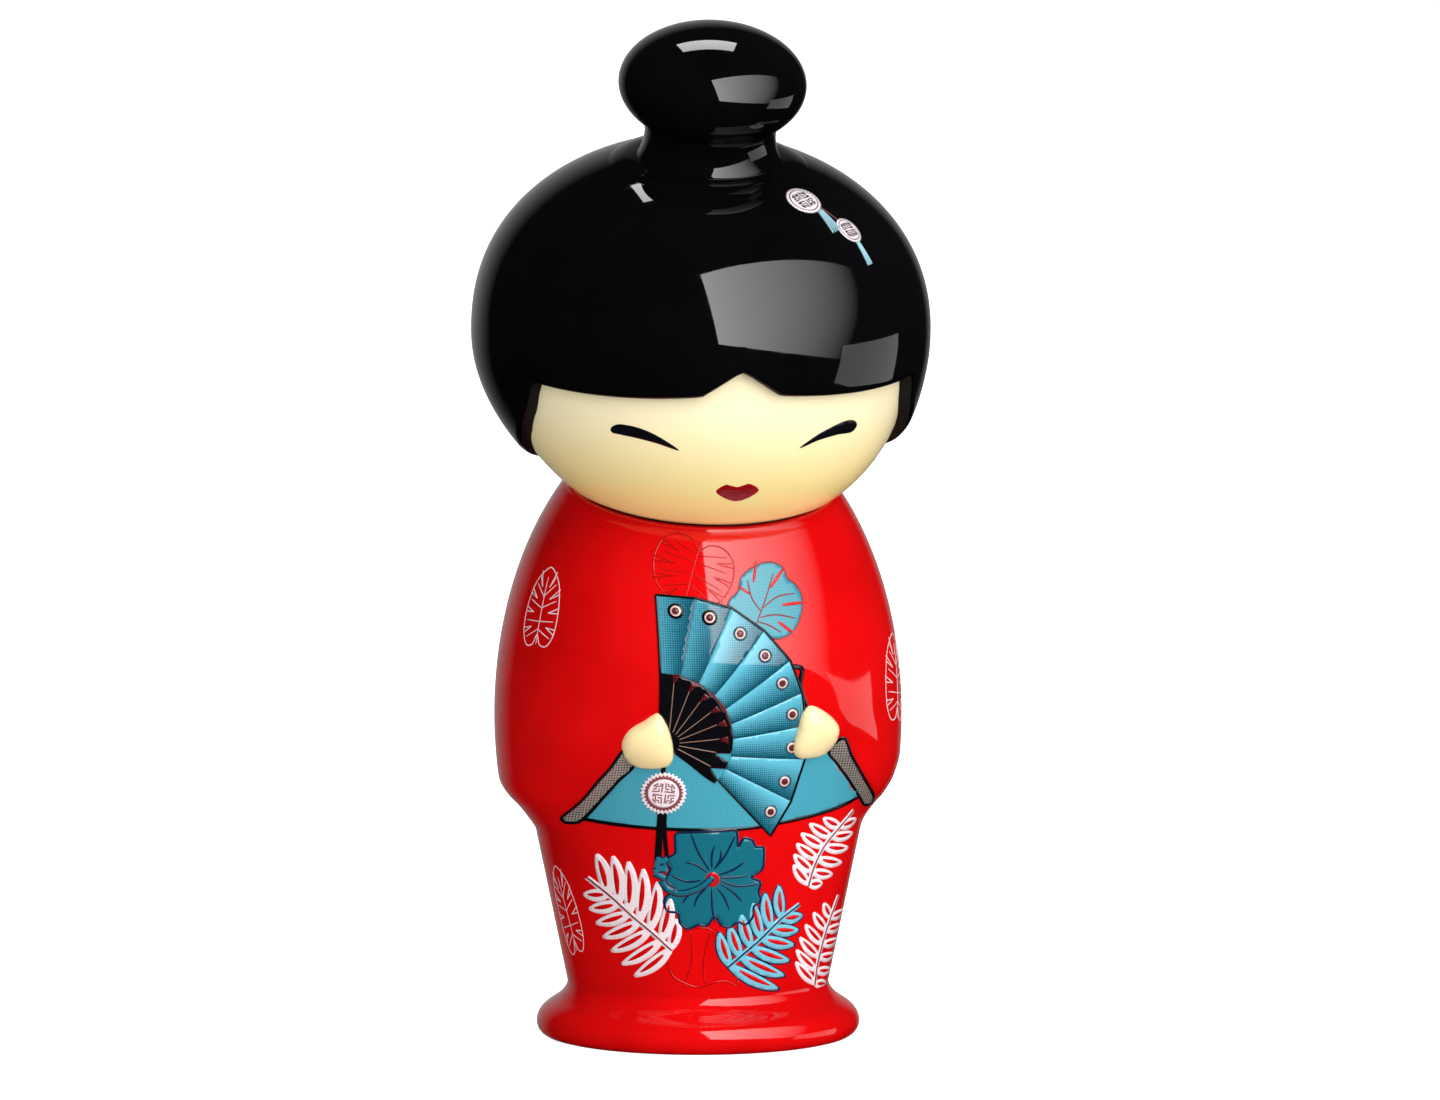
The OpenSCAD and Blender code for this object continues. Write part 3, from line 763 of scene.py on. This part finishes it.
def face_radius(s, inset=0):
    """Radius of the bare head at a height on the neck's axis, or of a layer inside it."""
    half = np.where(s < broadest, face_below, face_above) - inset
    return (face_wide - inset) * np.sqrt(np.clip(1 - ((s - broadest) / half) ** 2, 0, 1))


face_glaze = glazed("cream face glaze", "FFF2C8", "FFEBB6", ripple=0.15, gloss=0.08)
# Painted reflected light: the lower face, just above the neck, is coloured a deeper yellow to stand in for
# the warm light that the red kimono throws up onto the chin.
height = node(face_glaze.node_tree, "ShaderNodeSeparateXYZ",
              {0: node(face_glaze.node_tree, "ShaderNodeTexCoord").outputs["Object"]}).outputs["Z"]
low_down = node(face_glaze.node_tree, "ShaderNodeMapRange", {"Value": height, "From Min": 0.099,
                                                             "From Max": 0.114})
painted_bounce_light = node(face_glaze.node_tree, "ShaderNodeValToRGB", {"Fac": low_down.outputs["Result"]})
painted_bounce_light.color_ramp.elements[0].color = colour("FFE698")
painted_bounce_light.color_ramp.elements[1].color = colour("FFF2C8")
for group_input in ("Colour", "Pooled colour"):
    face_glaze.node_tree.links.new(painted_bounce_light.outputs["Color"], surface_in(face_glaze, glaze).inputs[group_input])
plug = [(14.1, 3.2), (14.0, 2.8), (14.0, -7.7), (14.2, -8), (16.7, -8), (17.0, -7.7), (17.0, -3),
        (17.0, 0.3), (17.2, 0.5), (20, 0.5), (23.0, 0.5), (23.5, 0.58), (23.8, 0.8)]
head_rings = [ring(r, s) for r, s in plug]
for turn in np.linspace(-math.asin((broadest - chin) / face_below), 0, 60):
    s = broadest + face_below * math.sin(turn)
    head_rings.append(ring(face_radius(s), s))
for turn in np.linspace(0.04, math.pi / 2 - 0.03, 50):
    s = broadest + face_above * math.sin(turn)
    head_rings.append(ring(face_radius(s), s))
inside_rings = []
for turn in np.linspace(math.pi / 2 - 0.05, 0, 24):
    s = broadest + (face_above - wall) * math.sin(turn)
    inside_rings.append(ring(face_radius(s, wall), s))
for turn in np.linspace(-0.03, -math.asin((broadest - chin_inside) / (face_below - wall)), 24):
    s = broadest + (face_below - wall) * math.sin(turn)
    inside_rings.append(ring(face_radius(s, wall), s))


def hollow(name, outer_rings, inner_rings, materials):
    """A closed shell with a hole through its foot: outside rings go up, inside rings down."""
    faces, kinds = [], []
    n_out, n_all = len(outer_rings), len(outer_rings) + len(inner_rings)
    top_out, top_in = n_all * COLUMNS, n_all * COLUMNS + 1
    for j in list(range(n_out - 1)) + list(range(n_out, n_all)):
        a, b = j * COLUMNS, (j + 1) % n_all * COLUMNS
        for i in range(COLUMNS):
            k = (i + 1) % COLUMNS
            faces.append((a + i, a + k, b + k, b + i))
        kinds += [0 if 3 < j < n_out else 1] * COLUMNS
    last, first = (n_out - 1) * COLUMNS, n_out * COLUMNS
    for i in range(COLUMNS):
        k = (i + 1) % COLUMNS
        faces.append((top_out, last + i, last + k))
        faces.append((top_in, first + k, first + i))
        kinds += [0, 1]
    points = outer_rings + inner_rings + [outer_rings[-1].mean(0), inner_rings[0].mean(0)]
    return piece_of(name, points, faces, kinds, materials)


head = hollow("head", head_rings, inside_rings, [face_glaze, white_inside])
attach(head, "head")
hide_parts("head_shell")


def on_face(x, s):
    """The face's surface seen from the front, square to the neck's axis."""
    return bowed(x, np.sqrt(np.maximum(face_radius(s) ** 2 - x ** 2, 0.01)), s)


lip_ink = ink("lip red ink", "920A12", "7C0810", 0.85)
lip_line = ink("lip line ink", "6E0510", "5A040C", 0.9)
eye_right = [(-21.1, 21.0), (-20.6, 21.8), (-19.4, 22.3), (-16.6, 22.1), (-13.4, 20.9), (-10.0, 18.5),
             (-13.4, 19.4), (-16.6, 20.0), (-19.4, 20.2), (-20.8, 20.3)]
eye_left = [(11.2, 18.3), (14.4, 20.4), (17.4, 21.5), (20.0, 22.0), (21.7, 21.6), (22.4, 20.6),
            (22.0, 19.7), (21.0, 19.3), (18.4, 19.6), (14.8, 19.3)]
laid("eyes", [curve(eye_right, True, 0.2), curve(eye_left, True, 0.2)], on_face, 0.04, black_ink,
     "head", grid=0.5)
mouth = [(-3.4, 9.9), (-1.9, 11.4), (-0.9, 11.2), (0.3, 10.9), (1.4, 11.3), (2.5, 11.5), (4.1, 10.0),
         (2.6, 8.4), (0.4, 7.5), (-1.8, 8.3)]
between_lips = [(-3.2, 9.9), (-1.2, 9.8), (0.3, 9.4), (1.8, 9.9), (3.9, 10.0)]
laid("mouth", [curve(mouth, True, 0.2)], on_face, 0.04, lip_ink, "head", grid=0.5)
laid("mouth_line", [stroke(between_lips, 0.18, 0.3)], on_face, 0.07, lip_line, "head", grid=0.5)


# Hair: a thick step of clay over the skull, parted in a notch above the face, with side
# locks that run back to the nape. It has the deepest glaze on the doll, near mirror black.
hair_wide, hair_below, hair_above, hair_full = 40.1, 35.4, 33.4, 2.22


def hair_radius(s):
    """Radius of the hair; above its broadest it is a little fuller than an ellipse."""
    half = np.where(s < broadest, hair_below, hair_above)
    fullness = np.where(s < broadest, 2, hair_full)
    return hair_wide * np.sqrt(np.clip(1 - (np.abs(s - broadest) / half) ** fullness, 0, 1))


def hair_edge(angle):
    """Height of the hair's lower edge at an angle from the front."""
    turn = np.abs((angle + math.pi) % (2 * math.pi) - math.pi)
    x = np.abs(39.5 * np.sin(np.minimum(turn, 1.06)))
    fringe = np.interp(x, [0, 1.2, 3.8, 6.9, 8.0, 33], [33.6, 33.1, 31.4, 29.3, 29.1, 26.3])
    lock = np.interp(np.degrees(turn), [53, 57, 60.5, 67.5, 78, 89, 101, 110],
                     [40, 27, 20.6, 15.0, 9.0, 5.4, 3.6, 3.4])
    return soft_min(fringe, lock, 1.2)


black_glaze = glazed("black hair glaze", "050506", "08080A", ripple=0.1, gloss=0.025)
edge_s = hair_edge(angles)
hair_rings = []
for drop, inset in ((0.0, 3.1), (0.0, 2.3), (0.08, 1.6), (0.25, 1.0), (0.5, 0.5), (0.85, 0.2), (1.25, 0.04)):
    s = edge_s + drop
    hair_rings.append(ring(hair_radius(s) - inset, s))
rounded_s = edge_s + 1.6
start = np.arcsin((rounded_s - broadest) / np.where(rounded_s < broadest, hair_below, hair_above))
for t in np.linspace(0, 1, 150):
    lift_angle = start + (math.radians(66) - start) * t
    s = broadest + np.where(lift_angle < 0, hair_below, hair_above) * np.sin(lift_angle)
    hair_rings.append(ring(hair_radius(s), s))
crown = [ring(r, s) for r, s in ((16.4, 59.5), (14.6, 60.0), (13.2, 60.2), (8, 60.2), (3, 60.2))]
lining = [ring(1.5, 58.2)]
for a in np.radians(np.arange(84, 36, -8)):
    lining.append(ring((face_wide - 1.2) * math.cos(a), broadest + (face_above - 1.1) * math.sin(a)))
lining += [ring(face_radius(edge_s + drop) - 1.0, edge_s + drop) for drop in (14, 8, 3, 0.9)]
dry_black = glazed("thin black glaze", "010102", "020203", ripple=0.3, gloss=0.9)
hair = hollow("hair", hair_rings + crown, lining, [black_glaze, dry_black])
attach(hair, "head")
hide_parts("hair_cap")

# Tie and bun: turned forms luted to the crown. The tie is a short waist with a hollow at
# each end, and the bun is the lid's knob.
tie_profile = [(2, 58.2), (12.0, 58.2), (12.5, 59.6), (12.7, 60.15), (12.4, 60.6), (12.1, 61.2),
               (11.8, 62.0), (11.55, 63.0), (11.4, 64.2), (11.45, 65.2), (11.65, 66.0), (12.1, 66.6),
               (12.6, 67.0), (12.4, 68), (6, 69), (2, 69)]
tie = skin("hair_tie_waist", [ring(r, s) for r, s in tie_profile], [black_glaze])
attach(tie, "head")
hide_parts("hair_tie")
bun_radius, bun_middle, bun_half = 16.35, 73.5, 10.3
bun_rings = []
for a in np.radians(np.linspace(-88, 88, 90)):
    bun_rings.append(ring(bun_radius * math.cos(a), bun_middle + bun_half * math.sin(a)))
bun = skin("hair_bun_knob", bun_rings, [black_glaze])
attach(bun, "head")
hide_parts("hair_bun")


# Hair ornaments: two small printed medallions joined by a dark cord, each with a pale blue
# tassel, on the left of the crown.
def on_hair(x0, s0):
    """The hair's surface round a point, drawn on as if it were flat there."""
    p0 = np.array([x0, math.sqrt(hair_radius(s0) ** 2 - x0 ** 2), s0 - broadest])
    out = p0 / (hair_wide ** 2, hair_wide ** 2, hair_above ** 2)
    out /= np.linalg.norm(out)
    wide = np.cross((0, 0, 1), out) * -1
    wide /= np.linalg.norm(wide)
    up = np.cross(out, wide) * -1

    def surface(u, v):
        q = p0 + np.outer(u, wide) + np.outer(v, up)
        across = np.hypot(q[:, 0], q[:, 1]) / hair_wide
        return bowed(q[:, 0], q[:, 1], broadest + hair_above * (1 - across ** 2) ** (1 / hair_full))
    return surface


tassel_blue = ink("tassel blue ink", "A9D6E4", "8CC2D4", 0.85)
cord_red = ink("ornament cord ink", "5E1A22", "4A1218", 0.9)
crown_spot = on_hair(17.0, 55.6)
laid("ornament_cord", [stroke([(0.6, 1.2), (1.2, -1.2), (1.8, -3.2)], 0.4)], crown_spot, 0.03, cord_red,
     "head", grid=0.6)
medallion("ornament_large", (-1.3, 3.8), 3.5, crown_spot, black_ink, "head", 0.06, 0.075, 0.76)
medallion("ornament_small", (2.1, -4.9), 2.5, crown_spot, black_ink, "head", 0.06, 0.085, 0.76)
tassels = [stroke([(-0.9 + 0.3 * k, 0.5), (-2.0 + 0.7 * k, -4.4)], 0.28, 0.5) for k in range(4)]
tassels += [stroke([(1.7 + 0.25 * k, -7.2), (1.0 + 0.5 * k, -11.0)], 0.26, 0.5) for k in range(3)]
laid("ornament_tassels", tassels, crown_spot, 0.2, tassel_blue, "head", grid=0.5)


# Studio: a pale sweep for a floor, a large soft box to the doll's left that fades along its
# width, small ones beside and above, and two fills that the glaze doesn't mirror. The white
# room lights the doll only from behind.
floor_mesh = bpy.data.meshes.new("floor")
floor_mesh.from_pydata([(-8, -8, 0), (8, -8, 0), (8, 8, 0), (-8, 8, 0)], [], [(0, 1, 2, 3)])
floor = bpy.data.objects.new("floor", floor_mesh)
bpy.context.scene.collection.objects.link(floor)
paper = bpy.data.materials.new("pale paper sweep")
paper.use_nodes = True
sheet = paper.node_tree.nodes["Principled BSDF"]
fibre = node(paper.node_tree, "ShaderNodeTexNoise", {"Scale": 300.0, "Detail": 3.0,
             "Vector": node(paper.node_tree, "ShaderNodeTexCoord").outputs["Object"]})
pale = node(paper.node_tree, "ShaderNodeMapRange", {"Value": fibre.outputs["Fac"], "To Min": 0.72,
                                                    "To Max": 0.78})
paper.node_tree.links.new(pale.outputs["Result"], sheet.inputs["Base Color"])
sheet.inputs["Roughness"].default_value = 0.9
sheet.inputs["Specular IOR Level"].default_value = 0.0
sheet.inputs["Emission Color"].default_value = WHITE
glow = node(paper.node_tree, "ShaderNodeLightPath").outputs["Is Camera Ray"]
paper.node_tree.links.new(glow, sheet.inputs["Emission Strength"])
floor_mesh.materials.append(paper)
floor.visible_glossy = False

room = bpy.data.worlds.new("white room")
bpy.context.scene.world = room
room.use_nodes = True
room_tree = room.node_tree
backdrop = room_tree.nodes["Background"]
direction = node(room_tree, "ShaderNodeTexCoord").outputs["Generated"]
looking = node(room_tree, "ShaderNodeSeparateXYZ", {0: direction})
behind = node(room_tree, "ShaderNodeMapRange", {"Value": looking.outputs["Y"], "From Min": 0.8,
                                                "From Max": 1.0, "To Min": 0.01, "To Max": 0.4})
above = node(room_tree, "ShaderNodeMapRange", {"Value": looking.outputs["Z"], "From Min": -0.5,
                                               "From Max": 0.0, "To Min": 0.1, "To Max": 1.0})
lit_room = node(room_tree, "ShaderNodeMath", {0: behind.outputs["Result"], 1: above.outputs["Result"]},
                operation="MULTIPLY")
seen = node(room_tree, "ShaderNodeLightPath").outputs["Is Camera Ray"]
bright = node(room_tree, "ShaderNodeMath", {0: lit_room.outputs[0], 1: seen}, operation="MAXIMUM")
room_tree.links.new(bright.outputs[0], backdrop.inputs["Strength"])
backdrop.inputs["Color"].default_value = WHITE


def soft_box(name, azimuth, elevation, distance, wide, tall, watts, mirrored=True, rolled=0):
    """A soft box aimed at the doll; its azimuth runs from the front towards the doll's left."""
    lamp = bpy.data.lights.new(name, "AREA")
    lamp.shape, lamp.size, lamp.size_y, lamp.energy = "RECTANGLE", wide, tall, watts
    holder = bpy.data.objects.new(name, lamp)
    a, e = math.radians(azimuth), math.radians(elevation)
    away = Vector((math.sin(a) * math.cos(e), -math.cos(a) * math.cos(e), math.sin(e)))
    holder.location = Vector((0, 0, 0.1)) + away * distance
    holder.rotation_mode = "QUATERNION"
    holder.rotation_quaternion = away.to_track_quat("Z", "Y") @ Quaternion((0, 0, 1), math.radians(rolled))
    holder.visible_glossy = mirrored
    bpy.context.scene.collection.objects.link(holder)
    return lamp


key = soft_box("key_box", 38, 27, 1.5, 2.3, 1.7, 80, rolled=-14)
key.use_nodes = True
glowing = key.node_tree.nodes["Emission"]
panel = node(key.node_tree, "ShaderNodeNewGeometry").outputs["Parametric"]
sideways = node(key.node_tree, "ShaderNodeSeparateXYZ", {0: panel})
fading = node(key.node_tree, "ShaderNodeMapRange", {"Value": sideways.outputs["X"], "To Min": 1.0,
                                                    "To Max": 0.0})
key.node_tree.links.new(fading.outputs["Result"], glowing.inputs["Strength"])
soft_box("side_box", 84, -11, 1.7, 1.3, 0.6, 3)
soft_box("top_box", 172, 68, 1.4, 0.66, 0.35, 5)
soft_box("fill_box", -50, 25, 2.4, 1.6, 1.6, 14, mirrored=False)
soft_box("back_fill", 150, 30, 2.4, 1.6, 1.6, 14, mirrored=False)

# Camera: a long lens a little to the doll's right and just above its middle.
view = bpy.data.cameras.new("camera")
view.lens, view.sensor_width = 356.3, 36
view.shift_x, view.shift_y = 0.0153, -0.0167
view.clip_end = 50
camera = bpy.data.objects.new("camera", view)
turn, rise = math.radians(-10.75), math.radians(6.2)
back = Vector((math.sin(turn) * math.cos(rise), -math.cos(turn) * math.cos(rise), math.sin(rise)))
camera.location = Vector((0, 0, 0.09)) + back * 2.5
camera.rotation_mode = "QUATERNION"
camera.rotation_quaternion = back.to_track_quat("Z", "Y")
bpy.context.scene.collection.objects.link(camera)
bpy.context.scene.camera = camera
bpy.context.scene.view_settings.view_transform = "Standard"
